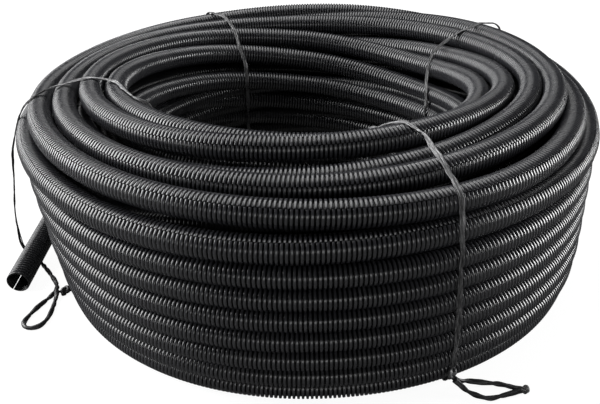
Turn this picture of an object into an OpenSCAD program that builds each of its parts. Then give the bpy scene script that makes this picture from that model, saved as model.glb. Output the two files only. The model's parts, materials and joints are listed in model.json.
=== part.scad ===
// Coil of split corrugated conduit, held by four knotted twine ties.
// Millimetres. +Z is the coil's axis, and Z = 0 is the floor that the coil lies on.

/* [Conduit] */
// Outside diameter over the ribs
conduit_d = 21.2; // [19:0.2:23]
// Diameter of the bore
bore_d = 16.5; // [14:0.1:16.8]
// Distance from one rib to the next
rib_pitch = 3.3; // [2.8:0.1:4.5]
// Width of a rib along the conduit
rib_w = 2; // [1.6:0.1:2.2]
// Depth of the grooves between the ribs
rib_depth = 1.7; // [1:0.1:1.9]
// Width of the slit that lets cables in
slit_w = 1.2; // [0.6:0.1:2.5]

/* [Coil] */
// Diameter of the hole through the coil
hole_d = 310; // [270:5:340]
// Turns side by side from the hole to the outside
columns = 5; // [4:1:6]
// Turns on top of each other
rows = 9; // [7:1:11]
// Height of a row: the ribs mesh, and the turns are pressed a little flat
row_step = 18; // [17:0.1:19.5]
// How much lower a row gets for each row that lies on it
row_squash = 0.22; // [0:0.02:0.3]
// How far the top turns rise from the outside to the hole
top_rise = 12; // [0:1:14]
// How far the outside bulges beyond the top layer
bulge = 8; // [0:1:10]
// How far the bottom row is drawn in from the widest one
draw_in = 15; // [8:1:18]
// Row of turns where the coil is widest
widest_row = 5; // [4:1:6]

/* [Free end] */
// Length of the straight end
end_l = 140; // [120:5:160]
// Part of the end that stands clear of the coil and is bored
end_clear_l = 95; // [60:5:100]
// Distance from the coil's axis to where the end starts
end_start_r = 263; // [260:1:265]
// Angle back from the coil's left side to where the end starts
end_back_angle = 7.4; // [6:0.2:9]
// Angle by which the end points away from the coil
end_out_angle = 1.7; // [0:0.1:4]
// Height of the end's centre where it starts
end_start_z = 20.5; // [18:0.5:26]
// Direction of the slit, seen from the mouth: 180 is outward, 270 is down
slit_angle = 234; // [180:1:300]

/* [Ties] */
// Width of the twine
tie_w = 3.6; // [3:0.1:5]
// Thickness of the twine
tie_t = 1.6; // [1.2:0.1:2]
// Diameter of a tie's knot
knot_d = 9; // [8:0.5:10]
// Thickness of a slack tail, where the twine rolls up
tail_d = 3; // [2.4:0.1:3.4]

/* [Hidden] */
$fn = 72;

conduit_r = conduit_d / 2;
first_r = hole_d / 2 + conduit_r;
last_r = first_r + (columns - 1) * conduit_d;
first_z = tie_t + conduit_r;
top_row = rows - 1;

tie_front_angle = -65;
tie_left_angle = -173;
tie_back_left_angle = 114;
tie_back_right_angle = 34;

// Places in the section, as radius and height. The left tie hangs slack round the free end too.
knot_at = [last_r + bulge - draw_in + conduit_r + tie_t + 2, 11];
slack_knot_at = [276, 6];
slack_goes_round = [[289, 50, 1], [266, 14, conduit_r]];

// The end slopes down until its mouth lies on the floor
end_drop = asin((end_start_z - conduit_r - 0.2) / end_l);

// Routes of the tails, from the knot round the loop on the floor and back to the knot
tail_front_route = [
    [111, -240, 9], [116, -242, 6], [124, -239, 3], [137, -240, 2], [148, -242, 2], [158, -246, 2], [164, -249, 2.5],
    [157, -251, 2], [145, -255, 2], [137, -257, 2], [130, -255, 2], [122, -250, 2.5], [116, -246, 6], [112, -244, 9]
];
tail_left_route = [
    [-276, -35, 4], [-270, -46, 2], [-258, -61, 2], [-244, -80, 2], [-233, -98, 3],
    [-230, -108, 4], [-233, -118, 2.5], [-240, -133, 2], [-244, -147, 2], [-245, -156, 2], [-241, -162, 2],
    [-235, -163, 2], [-229, -159, 2], [-226, -149, 2], [-226, -135, 2], [-227, -122, 2.5], [-228, -112, 5]
];
tail_sides = 8;
tail_step = 5;

// Centres of the turns: lower rows are pressed flatter, and the top layer rises towards the hole
function turnZ(row) = first_z + row * (row_step - row_squash * (top_row - row));
function insideZ(row) = turnZ(row) + top_rise * row / top_row;
function topZ(column) = turnZ(top_row) + top_rise * (1 - pow(column / (columns - 1), 3));
function outsideR(row) = last_r + bulge - draw_in * pow(abs(widest_row - row) / widest_row, 3);

inside_turns = [for (row = [0 : top_row]) [first_r, insideZ(row)]];
outside_turns = [for (row = [0 : top_row - 1]) [outsideR(row), turnZ(row)]];
bottom_turns = [for (column = [1 : columns - 2]) [first_r + column * conduit_d, first_z]];
top_turns = [for (column = [1 : columns - 1]) [first_r + column * conduit_d, topZ(column)]];
all_turns = concat(inside_turns, outside_turns, bottom_turns, top_turns);

// Outline through the centres, from the hole's foot out and round to its rim
core_outline = concat([inside_turns[0]], outside_turns,
    [for (column = [columns - 2 : -1 : 0]) top_turns[column]], [inside_turns[top_row]]);

// Point on a smooth curve through four neighbouring points, between the middle two
function curvePoint(a, b, c, d, t) =
    0.5 * (2 * b + (c - a) * t + (2 * a - 5 * b + 4 * c - d) * t * t + (3 * b - a - 3 * c + d) * t * t * t);

function smoothRoute(route) = [
    for (i = [0 : len(route) - 2])
        let (
            before = route[max(i - 1, 0)],
            after = route[min(i + 2, len(route) - 1)],
            parts = max(1, round(norm(route[i + 1] - route[i]) / tail_step))
        )
        for (k = [0 : parts - 1]) curvePoint(before, route[i], route[i + 1], after, k / parts),
    route[len(route) - 1]
];

function unit(v) = v / norm(v);

// Ring of points around one point of a route, square to the route's direction there
function ringAt(route, i, radius) =
    let (
        along = unit(route[min(i + 1, len(route) - 1)] - route[max(i - 1, 0)]),
        side = unit(cross(along, [0, 0, 1])),
        up = cross(side, along)
    )
    [for (k = [0 : tail_sides - 1]) route[i] + radius * (cos(360 * k / tail_sides) * side
        + sin(360 * k / tail_sides) * up)];

// Closed tube along a route
module sweptTube(route, diameter) {
    last = len(route) - 1;
    points = [for (i = [0 : last]) each ringAt(route, i, diameter / 2)];
    sides = [for (i = [0 : last - 1], k = [0 : tail_sides - 1])
        let (next = (k + 1) % tail_sides)
        [i * tail_sides + k, i * tail_sides + next, (i + 1) * tail_sides + next, (i + 1) * tail_sides + k]];
    start = [for (k = [tail_sides - 1 : -1 : 0]) k];
    finish = [for (k = [0 : tail_sides - 1]) last * tail_sides + k];
    polyhedron(points, concat(sides, [start, finish]), convexity = 6);
}

// Coil, turned as one solid with its turns on all four sides of the section
module coil() {
    rotate_extrude($fn = 180) {
        polygon(core_outline);
        for (centre = all_turns)
            translate(centre)
                circle(r = conduit_r);
    }
}

// Straight conduit with its ribs, standing on Z = 0
module ribbedConduit(length) {
    groove_r = conduit_r - rib_depth;
    ribs = floor(length / rib_pitch);
    rotate_extrude()
        union() {
            square([groove_r, length]);
            for (i = [0 : ribs - 1])
                translate([0, length - (i + 0.6) * rib_pitch]) {
                    translate([0, -rib_w / 2])
                        square([conduit_r - rib_w / 2, rib_w]);
                    translate([conduit_r - rib_w / 2, 0])
                        circle(d = rib_w);
                }
        }
}

// Carries its children to where the straight end leaves the coil, with +Z along the end
module atFreeEnd() {
    rotate([0, 0, -end_back_angle])
        translate([-end_start_r, 0, end_start_z])
            rotate([0, 0, end_back_angle - end_out_angle])
                rotate([90 + end_drop, 0, 0])
                    children();
}

module conduit() {
    color("#232427")
        difference() {
            union() {
                coil();
                atFreeEnd()
                    ribbedConduit(end_l);
            }
            atFreeEnd()
                translate([0, 0, end_l - end_clear_l])
                    cylinder(d = bore_d, h = end_clear_l + 1);
            atFreeEnd()
                translate([0, 0, end_l - end_clear_l])
                    rotate([0, 0, slit_angle])
                        translate([0, -slit_w / 2, 0])
                            cube([conduit_r + 1, slit_w, end_clear_l + 1]);
        }
}

// Outline of a tie at a given distance from the turns and from other circles, given as [radius, height, size]
module bandOutline(gap, wider) {
    hull() {
        for (centre = concat(inside_turns, outside_turns, top_turns))
            translate(centre)
                circle(r = conduit_r + gap, $fn = 48);
        for (other = wider)
            translate([other[0], other[1]])
                circle(r = other[2] + gap, $fn = 48);
    }
}

// Twine tie around the whole bundle, with its knot outside at the foot
module tie(angle, knot = knot_at, wider = []) {
    color("#1b1b1c")
        rotate([0, 0, angle]) {
            rotate([90, 0, 0])
                linear_extrude(tie_w, center = true)
                    difference() {
                        bandOutline(tie_t, wider);
                        bandOutline(0, wider);
                    }
            translate([knot[0], 0, knot[1]])
                sphere(d = knot_d);
        }
}

module tie_front() {
    tie(tie_front_angle);
}

// Slack enough to hang clear of the coil and go round the free end too
module tie_left() {
    tie(tie_left_angle, slack_knot_at, slack_goes_round);
}

module tie_back_left() {
    tie(tie_back_left_angle);
}

module tie_back_right() {
    tie(tie_back_right_angle);
}

module tail_front() {
    color("#1b1b1c")
        sweptTube(smoothRoute(tail_front_route), tail_d);
}

module tail_left() {
    color("#1b1b1c")
        sweptTube(smoothRoute(tail_left_route), tail_d);
}

conduit();
tie_front();
tie_left();
tie_back_left();
tie_back_right();
tail_front();
tail_left();
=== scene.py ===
import bpy
import json
import math
import numpy as np
from mathutils import Matrix, Vector


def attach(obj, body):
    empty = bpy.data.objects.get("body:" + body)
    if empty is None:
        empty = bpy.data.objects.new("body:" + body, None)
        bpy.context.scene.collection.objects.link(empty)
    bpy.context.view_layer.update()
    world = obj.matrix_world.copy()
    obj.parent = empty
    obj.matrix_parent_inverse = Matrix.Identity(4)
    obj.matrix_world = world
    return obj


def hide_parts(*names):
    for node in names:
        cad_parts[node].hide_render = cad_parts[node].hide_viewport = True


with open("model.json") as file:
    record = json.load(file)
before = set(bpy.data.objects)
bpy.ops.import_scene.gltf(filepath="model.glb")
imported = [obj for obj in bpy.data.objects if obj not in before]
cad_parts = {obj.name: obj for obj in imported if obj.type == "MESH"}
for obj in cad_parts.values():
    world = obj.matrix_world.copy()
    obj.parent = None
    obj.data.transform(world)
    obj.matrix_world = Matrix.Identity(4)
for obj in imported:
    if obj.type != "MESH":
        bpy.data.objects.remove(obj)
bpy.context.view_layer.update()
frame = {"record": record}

mm = 0.001
random = np.random.default_rng(7)

# Camera

view = {
    "lens": 44.25,           # mm, on a 36 mm wide sensor
    "distance": 673 * mm,    # from the coil's axis
    "height": 393.5 * mm,    # above the floor
    "down": 28.15,           # degrees below the horizon
    "tilt": -0.9,            # degrees round the line of sight
    "shift": -0.0065,        # sideways framing
}


def makeCamera(v):
    data = bpy.data.cameras.new("camera")
    data.lens = v["lens"]
    data.sensor_width = 36
    data.shift_x = v["shift"]
    camera = bpy.data.objects.new("camera", data)
    look = Matrix.Rotation(math.radians(90 - v["down"]), 4, "X")
    roll = Matrix.Rotation(math.radians(v["tilt"]), 4, "Z")
    camera.matrix_world = Matrix.Translation((0, -v["distance"], v["height"])) @ look @ roll
    bpy.context.scene.collection.objects.link(camera)
    bpy.context.scene.camera = camera


makeCamera(view)
print("camera made")

# Lines, frames along them, and meshes


def curveThrough(points, parts):
    p = np.array(points, float)
    p = np.vstack([p[:1], p, p[-1:]])
    parts = np.broadcast_to(parts, len(points) - 1)
    out = []
    for i in range(len(points) - 1):
        a, b, c, d = p[i:i + 4]
        t = np.arange(parts[i])[:, None] / parts[i]
        out.append(0.5 * (2 * b + (c - a) * t + (2 * a - 5 * b + 4 * c - d) * t ** 2
                          + (3 * b - a - 3 * c + d) * t ** 3))
    return np.vstack(out + [p[-1:]])


def polar(angles, radiusHeight):      # degrees, radius and height to x, y, z
    a = np.radians(angles)
    return np.stack([radiusHeight[:, 0] * np.cos(a), radiusHeight[:, 0] * np.sin(a), radiusHeight[:, 1]], -1)


def lengthAlong(line):
    return np.concatenate([[0], np.cumsum(np.linalg.norm(np.diff(line, axis=0), axis=1))])


def pointsAt(line, places):
    along = lengthAlong(line)
    return np.stack([np.interp(places, along, line[:, k]) for k in range(3)], -1)


def evenly(line, step):
    length = lengthAlong(line)[-1]
    return pointsAt(line, np.linspace(0, length, max(2, int(round(length / step)) + 1)))


def unit(v):
    return v / np.maximum(np.linalg.norm(v, axis=-1, keepdims=True), 1e-12)


def directionsAlong(line):
    ends = np.vstack([2 * line[:1] - line[1:2], line, 2 * line[-1:] - line[-2:-1]])
    return unit(ends[2:] - ends[:-2])


def squareTo(tangent, outward):       # outward and upward directions, square to the line
    out = unit(outward - (outward * tangent).sum(-1, keepdims=True) * tangent)
    return out, np.cross(tangent, out)


def smoothed(values, reach):          # along the first axis, ends kept
    weights = np.hanning(2 * reach + 3)[1:-1]
    padded = np.concatenate([np.repeat(values[:1], reach, 0), values, np.repeat(values[-1:], reach, 0)])
    return np.apply_along_axis(lambda v: np.convolve(v, weights / weights.sum(), "valid"), 0, padded)


def wave(places, length, phase):      # slow wander between -1 and 1
    turn = 2 * np.pi * places / length
    return 0.6 * np.sin(turn + phase) + 0.4 * np.sin(2.3 * turn + 2.1 * phase)


def gridFaces(rows, columns, closed=True):
    i, k = np.meshgrid(np.arange(rows - 1), np.arange(columns if closed else columns - 1), indexing="ij")
    after = (k + 1) % columns
    a, b = i * columns, (i + 1) * columns
    return np.stack([a + k, a + after, b + after, b + k], -1).reshape(-1, 4)


def capFaces(rows, columns):          # two ends of a closed tube, as quads from its first column
    first = [(0, k + 2, k + 1, k) for k in range(1, columns - 2, 2)]
    last = (rows - 1) * columns
    return np.array(first + [(last, last + k, last + k + 1, last + k + 2) for k in range(1, columns - 2, 2)])


def addMesh(name, verts, faces, materials, uv=None, uvName="ribs", slots=None, normals=None):
    mesh = bpy.data.meshes.new(name)
    mesh.vertices.add(len(verts))
    mesh.vertices.foreach_set("co", np.ascontiguousarray(verts, np.float32).ravel())
    faces = np.asarray(faces, np.int32)
    mesh.loops.add(faces.size)
    mesh.loops.foreach_set("vertex_index", faces.ravel())
    mesh.polygons.add(len(faces))
    mesh.polygons.foreach_set("loop_start", np.arange(0, faces.size, faces.shape[1], dtype=np.int32))
    if slots is not None:
        mesh.polygons.foreach_set("material_index", np.asarray(slots, np.int32))
    mesh.update(calc_edges=True)
    if uv is not None:
        layer = mesh.uv_layers.new(name=uvName)
        corners = np.asarray(uv, np.float32).reshape(-1, 2)[faces.ravel()]
        layer.data.foreach_set("uv", corners.ravel())
    mesh.shade_smooth()
    if normals is not None:
        mesh.normals_split_custom_set_from_vertices(normals)
    for material in materials:
        mesh.materials.append(material)
    piece = bpy.data.objects.new(name, mesh)
    bpy.context.scene.collection.objects.link(piece)
    return piece


def addPiece(name, verts, faces, materials, slot, replaces, **more):
    piece = addMesh(name, verts, faces, materials, **more)
    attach(piece, "root")
    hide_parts(replaces)
    return piece


# Shader node groups and materials


def newGroup(name, inputs, outputs):
    group = bpy.data.node_groups.new(name, "ShaderNodeTree")
    for title, value in inputs:
        socket = group.interface.new_socket(name=title, in_out="INPUT", socket_type="NodeSocketFloat")
        socket.default_value = value
    for title in outputs:
        group.interface.new_socket(name=title, in_out="OUTPUT", socket_type="NodeSocketFloat")
    return group, group.nodes.new("NodeGroupInput"), group.nodes.new("NodeGroupOutput")


def addNode(tree, kind, inputs=(), **settings):
    node = tree.nodes.new("ShaderNode" + kind)
    for key, value in settings.items():
        setattr(node, key, value)
    for key, value in dict(inputs).items():
        if isinstance(value, bpy.types.NodeSocket):
            tree.links.new(value, node.inputs[key])
        else:
            node.inputs[key].default_value = value
    return node


def calc(tree, operation, a, b=0.0):
    return addNode(tree, "Math", {0: a, 1: b}, operation=operation).outputs[0]


def ramp(tree, value, low, high, lowTo=0.0, highTo=1.0):
    return addNode(tree, "MapRange", {"Value": value, "From Min": low, "From Max": high,
                                      "To Min": lowTo, "To Max": highTo},
                   interpolation_type="SMOOTHSTEP").outputs["Result"]


def mixColor(tree, factor, a, b):
    return addNode(tree, "Mix", {0: factor, 6: a, 7: b}, data_type="RGBA").outputs[2]


def useGroup(tree, group, **inputs):
    node = addNode(tree, "Group", node_tree=group)
    for key, value in inputs.items():
        node.inputs[key].default_value = value
    return node


def ribMaskGroup():                   # 1 on a rib's top and 0 in the groove, where U counts the ribs; it sets where the grooves are painted dark as shade
    group, given, out = newGroup("ribMask", [("Middle", 0.4), ("Width", 0.5), ("Softness", 0.06)], ["Crest"])
    uv = addNode(group, "UVMap", uv_map="ribs")
    part = addNode(group, "SeparateXYZ", {0: uv.outputs["UV"]})
    phase = calc(group, "FRACT", part.outputs["X"])
    away = calc(group, "ABSOLUTE", calc(group, "SUBTRACT", phase, given.outputs["Middle"]))
    edge = calc(group, "SUBTRACT", calc(group, "MULTIPLY", given.outputs["Width"], 0.5), away)
    soft = given.outputs["Softness"]
    crest = ramp(group, edge, calc(group, "MULTIPLY", soft, -1.0), soft)
    group.links.new(crest, out.inputs["Crest"])
    return group


def grainGroup():                     # broad patches, fine grain and thin scuffs, from 0 to 1
    scales = [("Patch Scale", 30.0), ("Grain Scale", 900.0), ("Scuff Scale", 120.0)]
    group, given, out = newGroup("moulding", scales, ["Patches", "Grain", "Scuffs"])
    place = addNode(group, "TexCoord").outputs["Object"]
    patches = addNode(group, "TexNoise", {"Vector": place, "Scale": given.outputs["Patch Scale"],
                                          "Detail": 3.0})
    grain = addNode(group, "TexNoise", {"Vector": place, "Scale": given.outputs["Grain Scale"],
                                        "Detail": 2.0})
    scuffs = addNode(group, "TexNoise", {"Vector": place, "Scale": given.outputs["Scuff Scale"],
                                         "Detail": 4.0, "Distortion": 1.5})
    group.links.new(ramp(group, patches.outputs["Fac"], 0.3, 0.7), out.inputs["Patches"])
    group.links.new(grain.outputs["Fac"], out.inputs["Grain"])
    group.links.new(ramp(group, scuffs.outputs["Fac"], 0.6, 0.72), out.inputs["Scuffs"])
    return group


ribMask = ribMaskGroup()
moulding = grainGroup()

plastic = {
    "crestColor": (0.026, 0.0265, 0.030, 1),
    "scuffColor": (0.05, 0.05, 0.055, 1),
    # painted shade: the grooves are painted near black, far darker than the plastic on the rib tops, for the
    # shade that falls in them
    "grooveShadeColor": (0.0016, 0.0016, 0.0020, 1),
    "crestRoughness": (0.22, 0.30),
    "grooveRoughness": 0.25,
    "crestMiddle": 0.37,         # of a rib's top, as a part of the pitch
    "crestWidth": 0.56,
    "shine": 0.8,
    "grain": (0.15, 0.2 * mm),   # strength and height of the moulding grain
}


def plasticMaterial(name, p=plastic):
    mat = bpy.data.materials.new(name)
    mat.use_nodes = True
    tree = mat.node_tree
    shader = tree.nodes["Principled BSDF"]
    crest = useGroup(tree, ribMask, Middle=p["crestMiddle"], Width=p["crestWidth"]).outputs["Crest"]
    grain = useGroup(tree, moulding)
    top = mixColor(tree, grain.outputs["Scuffs"], p["crestColor"], p["scuffColor"])
    # rib tops take the plastic's colour with scuffs, grooves the painted shade colour
    tree.links.new(mixColor(tree, crest, p["grooveShadeColor"], top), shader.inputs["Base Color"])
    rough = ramp(tree, grain.outputs["Patches"], 0.0, 1.0, *p["crestRoughness"])
    rise = calc(tree, "SUBTRACT", p["grooveRoughness"], rough)
    hollow = calc(tree, "SUBTRACT", 1.0, crest)
    rough = calc(tree, "ADD", rough, calc(tree, "MULTIPLY", rise, hollow))
    tree.links.new(rough, shader.inputs["Roughness"])
    bump = addNode(tree, "Bump", {"Strength": p["grain"][0], "Distance": p["grain"][1],
                                  "Height": grain.outputs["Grain"]})
    tree.links.new(bump.outputs["Normal"], shader.inputs["Normal"])
    shader.inputs["Specular IOR Level"].default_value = p["shine"]
    return mat


def twineMaterial(name, dark, light):  # thin fibres, with U in metres along them and V across
    mat = bpy.data.materials.new(name)
    mat.use_nodes = True
    tree = mat.node_tree
    shader = tree.nodes["Principled BSDF"]
    uv = addNode(tree, "UVMap", uv_map="strands").outputs["UV"]
    spread = addNode(tree, "VectorMath", {0: uv, 1: (110.0, 3.0, 1.0)}, operation="MULTIPLY").outputs[0]
    fibres = addNode(tree, "TexNoise", {"Vector": spread, "Scale": 1.0, "Detail": 4.0, "Roughness": 0.7})
    part = ramp(tree, fibres.outputs["Fac"], 0.42, 0.66)
    tree.links.new(mixColor(tree, part, dark, light), shader.inputs["Base Color"])
    tree.links.new(ramp(tree, fibres.outputs["Fac"], 0.3, 0.7, 0.5, 0.3), shader.inputs["Roughness"])
    bump = addNode(tree, "Bump", {"Strength": 0.3, "Distance": 0.0003, "Height": fibres.outputs["Fac"]})
    tree.links.new(bump.outputs["Normal"], shader.inputs["Normal"])
    return mat


blackPlastic = plasticMaterial("blackPlastic")
# a much darker, duller copy of the same plastic for the turns underneath: painted shade, not dust
deepShadedPlastic = plasticMaterial("deepShadedPlastic", dict(plastic, crestColor=(0.004, 0.004, 0.0045, 1), shine=0.1,
                                                    scuffColor=(0.006, 0.006, 0.006, 1)))
# a darker copy of the same plastic for the rows inside the hole and the free end: painted shade
shadedPlastic = plasticMaterial("shadedPlastic", dict(plastic, crestColor=(0.014, 0.0143, 0.0163, 1),
                                                    shine=0.45))
darkTwine = twineMaterial("darkTwine", (0.006, 0.006, 0.0065, 1), (0.035, 0.035, 0.037, 1))
greyTwine = twineMaterial("greyTwine", (0.018, 0.018, 0.019, 1), (0.26, 0.26, 0.265, 1))
# a lighter copy of the twine for where the ties cross the top: painted light from above
topLitTwine = twineMaterial("topLitTwine", (0.04, 0.04, 0.041, 1), (0.55, 0.55, 0.56, 1))
print("materials made")

# Slack tails of the ties, lying on the floor

tails = {
    "diameter": 3 * mm,
    "ringStep": 1.5 * mm,
    "halfWidth": 2.1 * mm,   # the twine is folded double and twisted
    "halfThickness": 1.25 * mm,
    "lay": 34 * mm,          # length in which it goes round once
    "wander": (1.1, 50 * mm),    # unevenness of the twist in radians, and its length
    "swell": (0.12, 23 * mm),    # unevenness of the thickness, as a part of it, and its length
    "foldSharpness": 0.8,
    "lowest": 0.1 * mm,
    "sides": 14,
    "loopKnot": {"centre": (165, -249.5, 3.2), "size": 0.65 * mm, "tilt": 0.3},
    "front": [
        (111, -240, 9), (116, -242, 6), (124, -239, 3), (137, -240, 2), (148, -242, 2), (158, -246, 2),
        (164, -249, 2.5), (157, -251, 2), (145, -255, 2), (137, -257, 2), (130, -255, 2), (122, -250, 2.5),
        (116, -246, 6), (112, -244, 9)],
    "left": [
        (-276, -35, 4), (-270, -46, 2), (-258, -61, 2), (-244, -80, 2), (-233, -98, 3), (-230, -108, 4),
        (-233, -118, 2.5), (-240, -133, 2), (-244, -147, 2), (-245, -156, 2), (-241, -162, 2),
        (-235, -163, 2), (-229, -159, 2), (-226, -149, 2), (-226, -135, 2), (-227, -122, 2.5),
        (-228, -112, 5)],
}


def twistedCord(line, t=tails):
    places = lengthAlong(line)
    tangent = directionsAlong(line)
    out, up = squareTo(tangent, np.cross(tangent, (0, 0, 1.0)))
    turn = np.linspace(0, 2 * np.pi, t["sides"], endpoint=False)[None]
    wander, wanderLength = t["wander"]
    swell, swellLength = t["swell"]
    roll = 2 * np.pi * places[:, None] / t["lay"] + wander * wave(places, wanderLength, 1.0)[:, None]
    size = 1 + swell * wave(places, swellLength, 2.0)[:, None]
    fold = np.abs(np.cos(turn - roll))
    radius = size * (t["halfThickness"] + (t["halfWidth"] - t["halfThickness"]) * fold ** t["foldSharpness"])
    ring = np.cos(turn)[..., None] * out[:, None] + np.sin(turn)[..., None] * up[:, None]
    verts = line[:, None] + radius[..., None] * ring
    verts[..., 2] = np.maximum(verts[..., 2], t["lowest"])
    rows, columns = radius.shape
    faces = np.vstack([gridFaces(rows, columns), capFaces(rows, columns)])
    uv = np.stack([places[:, None] + 0 * turn, turn / (2 * np.pi) * 5 + 0 * radius], -1)
    return verts.reshape(-1, 3), faces, uv


def knotLine(centre, size, tilt):     # a trefoil, drawn tight
    t = np.linspace(0, 2 * np.pi, 60)
    shape = np.stack([np.sin(t) + 2 * np.sin(2 * t), np.cos(t) - 2 * np.cos(2 * t), -1.4 * np.sin(3 * t)], -1)
    return np.array(centre) + shape * size @ np.array(Matrix.Rotation(tilt, 3, (0.3, 1, 0.2)))


def makeLoopKnot(k=tails["loopKnot"]):   # where the front loop's end is tied off
    verts, faces, uv = twistedCord(knotLine(np.array(k["centre"]) * mm, k["size"], k["tilt"]))
    return addPiece("tail_front_knot", verts, faces, [greyTwine], "twine", "tail_front", uv=uv,
                    uvName="strands")


def makeTail(name, route, t=tails):
    line = evenly(curveThrough(route, 8) * mm, t["ringStep"])
    verts, faces, uv = twistedCord(line)
    cord = addPiece(name + "_twine", verts, faces, [darkTwine], "twine", name, uv=uv, uvName="strands")


loopKnot = makeLoopKnot()
makeTail("tail_front", tails["front"])
makeTail("tail_left", tails["left"])
print("tails laid")

# The wound conduit

conduit = {
    "radius": 10.6 * mm,         # over the ribs
    "grooveDepth": 2.0 * mm,
    "pitch": 3.3 * mm,
    "footAt": (0.02, 0.72),      # where a rib's sides start and end, as parts of the pitch
    "crestAt": (0.13, 0.61),     # where its top starts and ends
    "rounding": (16, 70),        # how far the surface turns to the side at a rib's edges and feet, degrees
    "slitGap": 0.25 * mm,        # half the width of the closed slit
    "slitSlip": 1.4 * mm,        # how far the slit's two edges have slipped along each other
    "angleStep": 1.5,            # degrees of a turn between the points of its line
    "evenedRibs": 4,             # ribs each way over which the direction is evened out
    "joinedWithin": 0.1 * mm,    # a line whose ends are this close is a closed ring
}

# Turns on top: radius and height in mm every 45 degrees, counted from the right, and eight to a line
topTurns = {
    "holeRimOutward": {"start": 0, "slit": (20, 38), "stations": [
        (166, 121), (164, 118), (169, 133), (177, 152), (175, 164), (161, 167), (153, 164), (157, 159),
        (168, 153), (176, 141), (189, 151), (198, 163), (197, 168), (184, 169), (173, 171), (174, 170),
        (190, 161), (202, 147), (207, 138)]},
    "middleOutward": {"start": 810, "slit": (30, 34), "stations": [
        (207, 138), (210, 139), (209, 144), (199, 149), (195, 155), (196, 161),
        (214, 166), (221, 164), (220, 161), (221, 164), (219, 164), (216, 162), (219, 161), (222, 165),
        (234, 167), (245, 168), (241, 157), (235, 145)]},
    "outerRim": {"start": 120, "slit": (60, 44), "stations": [
        (262, 139), (258, 140), (251, 138), (257, 135), (256, 136), (261, 138), (274, 150), (267, 164),
        (254, 162), (244, 159), (239, 160), (247, 158), (250, 155), (247, 155), (257, 149), (262, 141),
        (262, 139)]},
}
# Three turns that climb inside the hole up to the first turn on top, every 45 degrees from the right
holeClimb = [
    (167, 59), (161, 54), (161, 63), (166, 79), (171, 92), (173, 98), (172, 95), (168, 87),
    (166, 80), (159, 76), (159, 84), (165, 101), (172, 113), (174, 120), (172, 116), (168, 108),
    (163, 100), (155, 97), (157, 107), (164, 123), (169, 135), (168, 146), (163, 145), (165, 134), (166, 121)]
outerWall = {
    "rows": 7,
    "firstHeight": 11 * mm,
    "rise": (16.35 * mm, 0.17 * mm),   # from one row to the next, and how much more for each row further up
    "widestRow": 3,
    "reach": 258 * mm,                 # radius of the widest row's centre
    "frontDrawIn": (9 * mm, 2.5),      # of the bottom row, and how fast the rows above reach out
    "rightDrawIn": (7 * mm, 2.0),
    "leftDrawIn": (21 * mm, 1.5),
    "leftLean": 3 * mm,                # how far in each row above the widest one lies on the left
    "leftDent": (202, 18 * mm, 2.6, 2.8),   # degrees, depth, deepest row, and rows to where it fades
    "rightBulge": (308, -3.5 * mm, 0.5, 1.6),
    "halfHeight": 0.9,                 # of a turn pressed flat, as a part of its radius
}
holeWall = {
    "rows": 7,
    "radius": 164 * mm,
    "rise": 17.8 * mm,
    "firstHeight": 11 * mm,
    "sink": 5 * mm,              # how much a row tips
    "highestAt": -75,            # degrees
    "levelRows": 3,              # rows over which the tip grows from nothing, and which don't drop
    "drop": 8 * mm,
}
bottomTurns = {"radii": (188, 209, 230), "height": 11}
underTurns = {"radii": (184, 201, 218, 235), "highest": 146, "sag": 3, "smoothing": 8}
deepTurns = {"radii": (186, 207, 228, 240), "below": 19, "sides": 8, "step": 3}   # hidden, so smooth
# Points round a tube, the side towards which they crowd, and how far they reach from it in degrees
ringSides = {
    "holeClimb": (11, 150, 80),
    "outerRow": (10, 5, 70),
    "holeRow": (8, 180, 70),
    "underTurn": (7, 90, 70),
    "bottomTurn": (6, 270, 70),
}
topTurnSides = 15


def ribsAlong(line, c, rings, closed=False):   # ribs, places, radius and sideways turn of each ring
    length = lengthAlong(line)[-1]
    count = int(length / c["pitch"])
    low, high = c["radius"] - c["grooveDepth"], c["radius"]
    (foot0, foot1), (crest0, crest1) = c["footAt"], c["crestAt"]
    edge, foot = np.radians(c["rounding"])
    profile = [(foot0, low, -foot), (crest0, high, -edge), (crest1, high, edge), (foot1, low, foot)]
    if rings == 3:
        profile = [((foot0 + foot1 - 1) / 2, low, 0)] + profile[1:3]
    ribs, radius, tilt = np.tile(profile, (count, 1)).T
    ribs = ribs + np.repeat(np.arange(count), len(profile))
    if not closed:
        return ribs, ribs * c["pitch"], radius, tilt
    ribs = np.append(ribs, ribs[0] + count)    # the first ring again, a turn later
    return ribs, ribs * length / count, np.append(radius, radius[0]), np.append(tilt, tilt[0])


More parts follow.
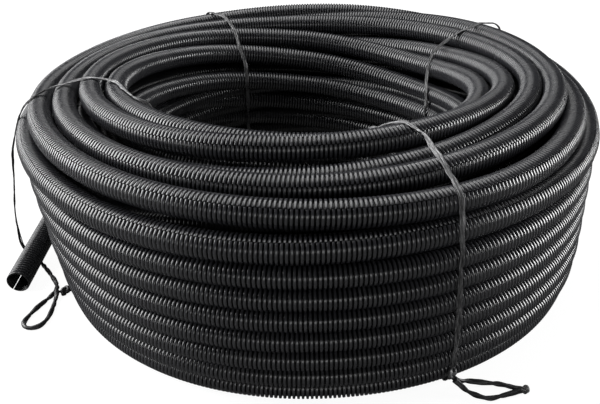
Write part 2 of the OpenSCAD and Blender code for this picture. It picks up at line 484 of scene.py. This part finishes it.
def ribbedTube(name, line, angles, c=conduit, squeeze=1.0, rings=4, slit=None, finish=blackPlastic):
    length = lengthAlong(line)[-1]
    closed = np.linalg.norm(line[0] - line[-1]) < c["joinedWithin"]
    ribs, places, radius, tilt = ribsAlong(line, c, rings, closed)

    def pointsOn(p):
        return pointsAt(line, p % length if closed else p)

    points = pointsOn(places)
    reach = c["evenedRibs"] * c["pitch"]
    tangent = unit(pointsOn(places + reach) - pointsOn(places - reach))
    out, down = squareTo(tangent, points * (1, 1, 0))
    turn = np.radians(angles)[None] + 0 * places[:, None]
    slip = 0 * turn
    if slit is not None:
        half = c["slitGap"] / c["radius"]
        span = np.linspace(half, 2 * np.pi - half, len(angles))
        turn = np.radians(np.linspace(slit[0], slit[1], len(places)))[:, None] + span[None]
        slip = c["slitSlip"] * span[None] / (2 * np.pi) + 0 * turn
    across, over = np.cos(turn)[..., None] * out[:, None], -np.sin(turn)[..., None] * down[:, None]
    verts = points[:, None] + radius[:, None, None] * (across + squeeze * over)
    verts = verts + slip[..., None] * tangent[:, None]
    tilt = tilt[:, None, None]
    normals = np.cos(tilt) * unit(across + over / squeeze) + np.sin(tilt) * tangent[:, None]
    uv = np.stack([ribs[:, None] + 0 * turn, turn / (2 * np.pi)], -1)
    faces = gridFaces(*turn.shape, closed=slit is None)[:, ::-1]
    return addPiece(name, verts.reshape(-1, 3), faces, [finish], "conduit", "conduit", uv=uv,
                    normals=normals.reshape(-1, 3))


def ringOfAngles(count, facing, reach):   # close together on the side that shows, wider apart behind
    front = np.linspace(facing - reach, facing + reach, count - 2)
    gap = (360 - 2 * reach) / 3
    return np.concatenate([front, [facing + reach + gap, facing + reach + 2 * gap]])


def stationLine(start, stations, c=conduit):
    line = curveThrough(stations, int(45 / c["angleStep"])) * mm
    return polar(start + np.arange(len(line)) * c["angleStep"], line)


def fullTurn(radiusAt, heightAt, c=conduit):
    angles = np.arange(0, 360 + c["angleStep"], c["angleStep"])
    return polar(angles, np.stack([radiusAt(angles) + 0 * angles, heightAt(angles) + 0 * angles], -1))


def outerRow(row, w=outerWall):
    below = max(0, (w["widestRow"] - row) / w["widestRow"])
    front, right, left = (w["reach"] - w[side][0] * below ** w[side][1]
                          for side in ("frontDrawIn", "rightDrawIn", "leftDrawIn"))
    left = left - w["leftLean"] * max(0, row - w["widestRow"])

    def radiusAt(angles):
        across = np.cos(np.radians(angles))
        radius = front * (1 - across ** 2) + np.where(across > 0, right, left) * across ** 2
        for at, depth, middle, fade in (w["leftDent"], w["rightBulge"]):
            depth = depth * math.exp(-((row - middle) / fade) ** 2)
            radius = radius - depth * np.clip(np.cos(np.radians(angles - at)), 0, 1) ** 6
        return radius

    height = w["firstHeight"] + w["rise"][0] * row + w["rise"][1] * row ** 2
    return fullTurn(radiusAt, lambda angles: height)


def holeRow(row, w=holeWall):
    def heightAt(angles):
        share = min(row, w["levelRows"]) / w["levelRows"]
        lift = w["sink"] * np.cos(np.radians(angles - w["highestAt"])) * share
        drop = w["drop"] if row >= w["levelRows"] else 0
        return w["firstHeight"] + w["rise"] * row + lift - drop

    return fullTurn(lambda angles: w["radius"], heightAt)


def underRow(radius, lines, u=underTurns, c=conduit):   # as high as the turns above let it lie
    steps = int(360 / c["angleStep"])
    height = np.full(steps, u["highest"] * mm)
    reach = 2 * c["radius"]
    for line in lines:
        step = np.round(np.degrees(np.arctan2(line[:, 1], line[:, 0])) / c["angleStep"]).astype(int) % steps
        away = np.hypot(line[:, 0], line[:, 1]) - radius * mm
        over = line[:, 2] - np.sqrt(np.maximum(reach ** 2 - away ** 2, 0))
        near = np.abs(away) < reach
        np.minimum.at(height, step[near], over[near])
    height = smoothed(np.tile(height, 3)[:, None], u["smoothing"])[steps:2 * steps + 1, 0] - u["sag"] * mm
    return fullTurn(lambda angles: radius * mm, lambda angles: height)


def smoothTurn(name, line, d=deepTurns, c=conduit):
    line = line[::d["step"]]
    turn = np.linspace(0, 2 * np.pi, d["sides"], endpoint=False)[None]
    out = unit(line * (1, 1, 0))
    verts = line[:, None] + c["radius"] * (np.cos(turn)[..., None] * out[:, None]
                                           + np.sin(turn)[..., None] * np.array((0, 0, 1.0)))
    uv = np.stack(np.broadcast_arrays(lengthAlong(line)[:, None] / c["pitch"], turn / (2 * np.pi)), -1)
    faces = gridFaces(len(line), d["sides"])[:, ::-1]
    # the deep turns take the darkest copy of the plastic, painted shade
    return addPiece(name, verts.reshape(-1, 3), faces, [deepShadedPlastic], "conduit", "conduit", uv=uv)


def windConduit():
    made, lines = [], []
    for name, t in topTurns.items():
        lines.append(stationLine(t["start"], t["stations"]))
        made.append(ribbedTube(name, lines[-1], np.zeros(topTurnSides), slit=t["slit"]))
    topLines = list(lines)
    lines.append(stationLine(0, holeClimb))
    made.append(ribbedTube("holeClimb", lines[-1], ringOfAngles(*ringSides["holeClimb"])))
    for row in range(outerWall["rows"]):
        lines.append(outerRow(row))
        made.append(ribbedTube("outerRow%d" % row, lines[-1], ringOfAngles(*ringSides["outerRow"]),
                               squeeze=outerWall["halfHeight"]))
    for row in range(holeWall["rows"]):
        lines.append(holeRow(row))
        # the rows inside the hole take the darker copy of the plastic, painted shade
        made.append(ribbedTube("holeRow%d" % row, lines[-1], ringOfAngles(*ringSides["holeRow"]), rings=3,
                               finish=shadedPlastic))
    for k, radius in enumerate(underTurns["radii"]):
        line = underRow(radius, topLines)
        # the turns underneath take the darkest copy of the plastic, painted shade
        made.append(ribbedTube("underTurn%d" % k, line, ringOfAngles(*ringSides["underTurn"]), rings=3,
                               finish=deepShadedPlastic))
    for k, radius in enumerate(deepTurns["radii"]):
        line = underRow(radius, topLines) - (0, 0, deepTurns["below"] * mm)
        made.append(smoothTurn("deepTurn%d" % k, line))
    for k, radius in enumerate(bottomTurns["radii"]):
        line = fullTurn(lambda angles: radius * mm, lambda angles: bottomTurns["height"] * mm)
        made.append(ribbedTube("bottomTurn%d" % k, line, ringOfAngles(*ringSides["bottomTurn"]), rings=3))
    return made, np.vstack(lines)


windings, centres = windConduit()
print("conduit wound,", sum(2 * len(p.data.polygons) for p in windings), "triangles")

# The free end, with its slit

endBore = next(m for m in frame["record"]["mounts"] if m["name"] == "end_bore")
freeEnd = {
    "boreMiddle": endBore["pos_m"],
    "boreLength": endBore["dims"]["length_mm"],
    "along": endBore["axis"],
    "length": 140,           # mm, of the straight piece
    "lead": [(146, 255, 30), (158, 258.5, 26), (166, 261, 23)],   # degrees, radius, height on leaving its row
    "slitAngle": -54,        # degrees round the conduit, with 0 outward
    "slitWidth": 0.6 * mm,
    "lip": 1.3 * mm,         # width of the cut end
    "wall": 0.4 * mm,
    "trim": 0.1 * mm,        # kept beyond the last whole rib, so that it ends at the mouth
    "linePoints": 400,
    "sides": 40,
}


def makeFreeEnd(e=freeEnd, c=conduit):
    lead = np.array(e["lead"], float)
    mouth = np.array(e["boreMiddle"]) / mm + 0.5 * e["boreLength"] * np.array(e["along"])
    straight = mouth + np.linspace(-e["length"], 0, 8)[:, None] * np.array(e["along"])
    line = curveThrough(np.vstack([polar(lead[:, 0], lead[:, 1:]), straight]), 12) * mm
    length = lengthAlong(line)[-1]
    line = pointsAt(line, np.linspace((length % c["pitch"]) - e["trim"], length, e["linePoints"]))
    ribs, places, radius, _ = ribsAlong(line, c, 4)
    places[-1], radius[-1] = lengthAlong(line)[-1], c["radius"]
    wall = np.full(len(places), e["wall"])
    wall[-1] = e["lip"]
    points = pointsAt(line, places)
    tangent = directionsAlong(points)
    out, down = squareTo(tangent, points * (1, 1, 0))
    half = 0.5 * e["slitWidth"] / c["radius"]
    turn = math.radians(e["slitAngle"]) + np.linspace(half, 2 * np.pi - half, e["sides"])
    ring = np.cos(turn)[None, :, None] * out[:, None] - np.sin(turn)[None, :, None] * down[:, None]
    outer = points[:, None] + radius[:, None, None] * ring
    inner = points[:, None] + (radius - wall)[:, None, None] * ring
    rows, columns = len(places), len(turn)
    faces = gridFaces(rows, columns, closed=False)
    shift = rows * columns
    last = (rows - 1) * columns
    k, i = np.arange(columns - 1), np.arange(rows - 1)
    lip = np.stack([last + k, last + k + 1, shift + last + k + 1, shift + last + k], -1)
    a, b = i * columns, (i + 1) * columns
    firstCut = np.stack([a, b, shift + b, shift + a], -1)
    lastCut = np.stack([b, a, shift + a, shift + b], -1) + columns - 1
    faces = np.vstack([faces[:, ::-1], faces + shift, lip[:, ::-1], firstCut[:, ::-1], lastCut[:, ::-1]])
    uv = np.stack(np.broadcast_arrays(ribs[:, None], turn[None] / (2 * np.pi)), -1)
    verts = np.vstack([outer.reshape(-1, 3), inner.reshape(-1, 3)])
    uv = np.vstack([uv.reshape(-1, 2), uv.reshape(-1, 2)])
    # the free end takes the darker copy of the plastic, painted shade that dulls its highlight
    return addPiece("freeEnd", verts, faces, [shadedPlastic], "conduit", "conduit", uv=uv)


freeEndPiece = makeFreeEnd()
print("free end made,", 2 * len(freeEndPiece.data.polygons), "triangles")

# The ties

twine = {
    "strands": 9,
    "strandRadius": 0.48 * mm,
    "halfWidth": 1.8 * mm,
    "halfThickness": 0.45 * mm,
    "ringStep": 3 * mm,
    "clear": 11.3 * mm,      # from a turn's centre
    "hairs": 70,
    "hairLength": 7 * mm,
    "hairRadius": 0.07 * mm,
    "hairBend": 10 * mm,     # length in which a hair bends right over
    "middle": (205, 90),     # radius and height inside every tie
    "smoothings": (4, 2),    # steps each way, before each time that it is pushed clear of the turns
    "lowest": 0.9 * mm,
    "tuck": (8, 2),          # how far in from the knot it goes under the coil, and its height there
    "below": [(230, 1), (175, 1), (154, 3), (151.5, 25), (151.5, 60)],   # radius, height up to the wall
    "sway": (0.4, 110 * mm),         # turning to and fro in radians, and its length
    "twistLength": 5 * mm,
    "spreadWave": (0.2, 60 * mm),    # how unevenly the strands lie, and the length of each unevenness
    "driftWave": (0.3 * mm, 33 * mm),
    "depthWave": 40 * mm,
    "sizeWave": (0.25, 28 * mm),
    "smallest": 0.9,
    "turnedLift": 0.8,       # lift off the turns where it stands on edge, as a part of its half width
    "knotSize": 1.25 * mm,
    "knotTilt": 0.8,
}

# Degrees, radius and height, over the top from the hole and down the outside to the knot. Pale and twists are
# parts of the whole length, from the knot under the coil and round, and knotAt is mm along it.
# The pale stretch, over the top of the coil, takes the lighter copy of the twine: painted light from above.
ties = {
    "tie_front": {
        "shade": greyTwine, "pale": (0.4, 0.68), "width": 0.95, "twists": (0.3, 0.44, 0.5, 0.62),
        "over": [
            (291, 148, 150), (291.5, 152, 170), (292.5, 158, 177.5), (297, 170, 181), (298, 187, 179.3),
            (296.5, 208, 176), (295.5, 229, 172.5), (294.5, 244.5, 168.5), (294, 258.5, 162.5),
            (293.5, 268, 133), (293.6, 270.5, 93), (294, 270, 58), (294.2, 267.7, 33),
            (294.6, 263.6, 14)]},
    "tie_back_left": {
        "shade": greyTwine, "twists": (0.2, 0.35), "width": 0.85,
        "over": [
            (114.9, 150.4, 107.6), (114.3, 154.5, 130), (114.1, 161, 143.4), (115.2, 164, 150),
            (114.2, 180, 161.8), (114, 197.5, 170.3), (113.8, 227.6, 174), (114.7, 246, 174),
            (116, 263, 173), (116, 272, 140), (115, 271, 60), (114, 264, 14)]},
    "tie_back_right": {
        "shade": greyTwine, "twists": (0.25, 0.4), "width": 0.85,
        "over": [
            (26.2, 147.5, 96), (31, 155, 126.6), (33.4, 161, 140.4), (33.7, 163.8, 148.5),
            (35.4, 170.7, 154.8), (37.3, 184, 159.7), (36.8, 203, 168.7), (35.2, 219.5, 176),
            (35.6, 240, 179), (35, 254, 178), (34, 270, 173), (34, 275, 130), (34, 272, 60),
            (34, 264, 14)]},
    "tie_left": {
        "shade": darkTwine, "pale": (0.44, 0.67), "twists": (0.3, 0.45), "width": 0.85,
        "knot": (206.3, 255, 5), "knotAt": 5,
        "over": [
            (213, 147, 150), (213, 150, 165), (211, 163, 177.5), (205, 162, 176.5), (190.6, 172.3, 177),
            (188, 190, 179), (188, 202, 178.6), (188.6, 221.5, 175), (191.3, 240, 171.6),
            (192.6, 248.5, 168), (189, 261, 149.5), (187, 268, 135), (186, 277.5, 110),
            (184.6, 284, 80), (184, 290, 50), (186, 289, 28), (187.5, 287, 10), (188, 281, 3)]},
}


def clearOfTurns(line, t=twine):
    batch = 100                       # points compared at a time, to save memory
    for reach in t["smoothings"]:
        line = smoothed(line, reach)
        for start in range(0, len(line), batch):
            part = line[start:start + batch]
            away = part[:, None] - centres[None]
            gap = np.linalg.norm(away, axis=-1)
            near = gap.argmin(1)
            step = np.arange(len(part))
            push = np.maximum(t["clear"] - gap[step, near], 0) / gap[step, near]
            line[start:start + batch] = part + push[:, None] * away[step, near]
    return line


def tieLine(stations, foot, t=twine):    # from the knot under the coil, up the hole, over the top and down
    tuck, tuckHeight = t["tuck"]
    under = [(foot[0], foot[1] - tuck, tuckHeight), (foot[0], *t["below"][0])]
    wall = [(stations[0][0], *place) for place in t["below"][1:]]
    route = curveThrough([foot] + under + wall + list(stations), 12)
    line = clearOfTurns(evenly(polar(route[:, 0], route[:, 1:] * mm), t["ringStep"]))
    line[:, 2] = np.maximum(line[:, 2], t["lowest"])
    return evenly(line, t["ringStep"])


def joined(parts):                    # several meshes, as vertices, faces and places for colour, in one
    shift = np.cumsum([0] + [len(p[0]) for p in parts])
    verts = np.vstack([p[0] for p in parts])
    faces = np.vstack([p[1] + s for p, s in zip(parts, shift)])
    uv = np.vstack([np.reshape(p[2], (-1, 2)) for p in parts])
    return verts, faces, uv


def strandTube(line, radius, sides, row, start=0.0):
    tangent = directionsAlong(line)
    out, up = squareTo(tangent, np.cross(tangent, (0.31, 0.2, 0.93)))
    turn = np.linspace(0, 2 * np.pi, sides, endpoint=False)[None]
    ring = np.cos(turn)[..., None] * out[:, None] + np.sin(turn)[..., None] * up[:, None]
    verts = (line[:, None] + np.reshape(radius, (-1, 1, 1)) * ring).reshape(-1, 3)
    uv = np.stack([start + lengthAlong(line)[:, None] + 0 * turn, row + 0.1 * turn + 0 * line[:, :1]], -1)
    return verts, gridFaces(len(line), sides), uv


def twistAngle(places, twists, t=twine):
    sway, swayLength = t["sway"]
    angle = sway * wave(places, swayLength, 0.7)
    for at in twists:
        angle = angle + np.pi / (1 + np.exp(-(places - at * places[-1]) / t["twistLength"]))
    return angle


def twineBundle(line, twists, width, t=twine):
    places = lengthAlong(line)
    tangent = directionsAlong(line)
    azimuth = np.degrees(np.arctan2(line[:, 1], line[:, 0]))
    middle = polar(azimuth, np.tile(np.array(t["middle"], float) * mm, (len(line), 1)))
    normal, side = squareTo(tangent, line - middle)
    angle = twistAngle(places, twists)
    half = t["halfWidth"] * width
    spread, spreadLength = t["spreadWave"]
    drift, driftLength = t["driftWave"]
    size, sizeLength = t["sizeWave"]
    parts = []
    for k in range(t["strands"]):     # each strand has its own phase in every wave
        across = half * (2 * k / (t["strands"] - 1) - 1)
        u = across * (1 + spread * wave(places, spreadLength, 1.7 * k))
        u = u + drift * wave(places, driftLength, 3.1 * k)
        v = t["halfThickness"] * wave(places, t["depthWave"], 5.3 * k + 1)
        lift = v * np.cos(angle) + u * np.sin(angle) + half * t["turnedLift"] * np.abs(np.sin(angle))
        strand = line + (u * np.cos(angle) - v * np.sin(angle))[:, None] * side + lift[:, None] * normal
        strand[:, 2] = np.maximum(strand[:, 2], t["strandRadius"])
        radius = t["strandRadius"] * (t["smallest"] + size * wave(places, sizeLength, 2.3 * k))
        parts.append(strandTube(strand, radius, 4, 3.7 * k))
    for k in range(t["hairs"]):
        i = random.integers(4, len(line) - 4)
        lean = random.uniform(-1, 1, 3)
        way = unit(tangent[i] * lean[0] * 2 + side[i] * lean[1] + normal[i] * (0.4 + abs(lean[2])))
        bend = unit(random.uniform(-1, 1, 3))
        reach = t["hairLength"] * random.uniform(0.3, 1) * np.linspace(0, 1, 5)[:, None]
        hair = line[i] + side[i] * half * lean[1] + way * reach + bend * reach ** 2 / t["hairBend"]
        hair[:, 2] = np.maximum(hair[:, 2], t["hairRadius"])
        parts.append(strandTube(hair, t["hairRadius"] * np.linspace(1, 0.4, 5), 3, 11.3 * k, places[i]))
    return parts


def makeTie(name, t, w=twine):
    line = tieLine(t["over"], t.get("knot", t["over"][-1]))
    parts = twineBundle(line, t["twists"], t["width"])
    knotCentre = pointsAt(line, np.array([t.get("knotAt", 0) * mm]))[0]
    parts.append(twistedCord(knotLine(knotCentre, w["knotSize"], w["knotTilt"])))
    verts, faces, uv = joined(parts)
    # faces in the pale stretch over the top take the lighter twine, painted light
    part = uv[faces[:, 0], 0] / lengthAlong(line)[-1]
    start, end = t.get("pale", (0, 0))
    return addPiece(name + "_twine", verts, faces, [t["shade"], topLitTwine], "twine", name, uv=uv,
                    uvName="strands", slots=(part > start) & (part < end))


tiePieces = [makeTie(name, t) for name, t in ties.items()]
print("ties made,", sum(2 * len(p.data.polygons) for p in tiePieces), "triangles")

# Floor and light

floorLook = {
    "size": 6,
    "color": (0.1, 0.1, 0.1, 1),
    "roughness": 0.9,
    "glow": 0.95,            # seen by the camera
    "glossyGlow": 0.05,      # seen in reflections
}
lamps = {                    # place, size, power
    "left": ((-1.75, 0.35, 0.98), (2.0, 1.9), 92),
    "right": ((1.8, 0.3, 0.4), (0.8, 0.75), 30),
    "top": ((0.0, 0.6, 1.9), (1.2, 2.2), 27),
    "front": ((0.2, -2.2, 0.5), (2.4, 0.5), 9),
}
lampsAimAt = (0, 0, 0.1)
skyLight = 0.03


def makeFloor(f=floorLook):
    s = f["size"]
    mesh = bpy.data.meshes.new("floor")
    mesh.from_pydata([(-s, -s, 0), (s, -s, 0), (s, s, 0), (-s, s, 0)], [], [(0, 1, 2, 3)])
    floor = bpy.data.objects.new("floor", mesh)
    bpy.context.scene.collection.objects.link(floor)
    mat = bpy.data.materials.new("paleFloor")
    mat.use_nodes = True
    tree = mat.node_tree
    shader = tree.nodes["Principled BSDF"]
    shader.inputs["Base Color"].default_value = f["color"]
    shader.inputs["Roughness"].default_value = f["roughness"]
    shader.inputs["Emission Color"].default_value = (1, 1, 1, 1)
    path = addNode(tree, "LightPath")
    direct = calc(tree, "MULTIPLY", path.outputs["Is Camera Ray"], f["glow"])
    mirrored = calc(tree, "MULTIPLY", path.outputs["Is Glossy Ray"], f["glossyGlow"])
    tree.links.new(calc(tree, "ADD", direct, mirrored), shader.inputs["Emission Strength"])
    floor.data.materials.append(mat)


def makeLamp(name, place, size, power):
    data = bpy.data.lights.new(name, "AREA")
    data.shape = "RECTANGLE"
    data.size, data.size_y = size
    data.energy = power
    lamp = bpy.data.objects.new(name, data)
    lamp.location = place
    lamp.rotation_mode = "QUATERNION"
    lamp.rotation_quaternion = (Vector(lampsAimAt) - Vector(place)).to_track_quat("-Z", "Y")
    bpy.context.scene.collection.objects.link(lamp)


def makeWorld():
    world = bpy.data.worlds.new("world")
    world.use_nodes = True
    tree = world.node_tree
    back = tree.nodes["Background"]
    back.inputs["Color"].default_value = (1, 1, 1, 1)
    path = addNode(tree, "LightPath")
    white = calc(tree, "MULTIPLY", path.outputs["Is Camera Ray"], 1 - skyLight)
    tree.links.new(calc(tree, "ADD", white, skyLight), back.inputs["Strength"])
    bpy.context.scene.world = world


makeFloor()
makeWorld()
for name, (place, size, power) in lamps.items():
    makeLamp(name, place, size, power)
print("floor and light made")

bpy.context.scene.view_settings.view_transform = "Standard"
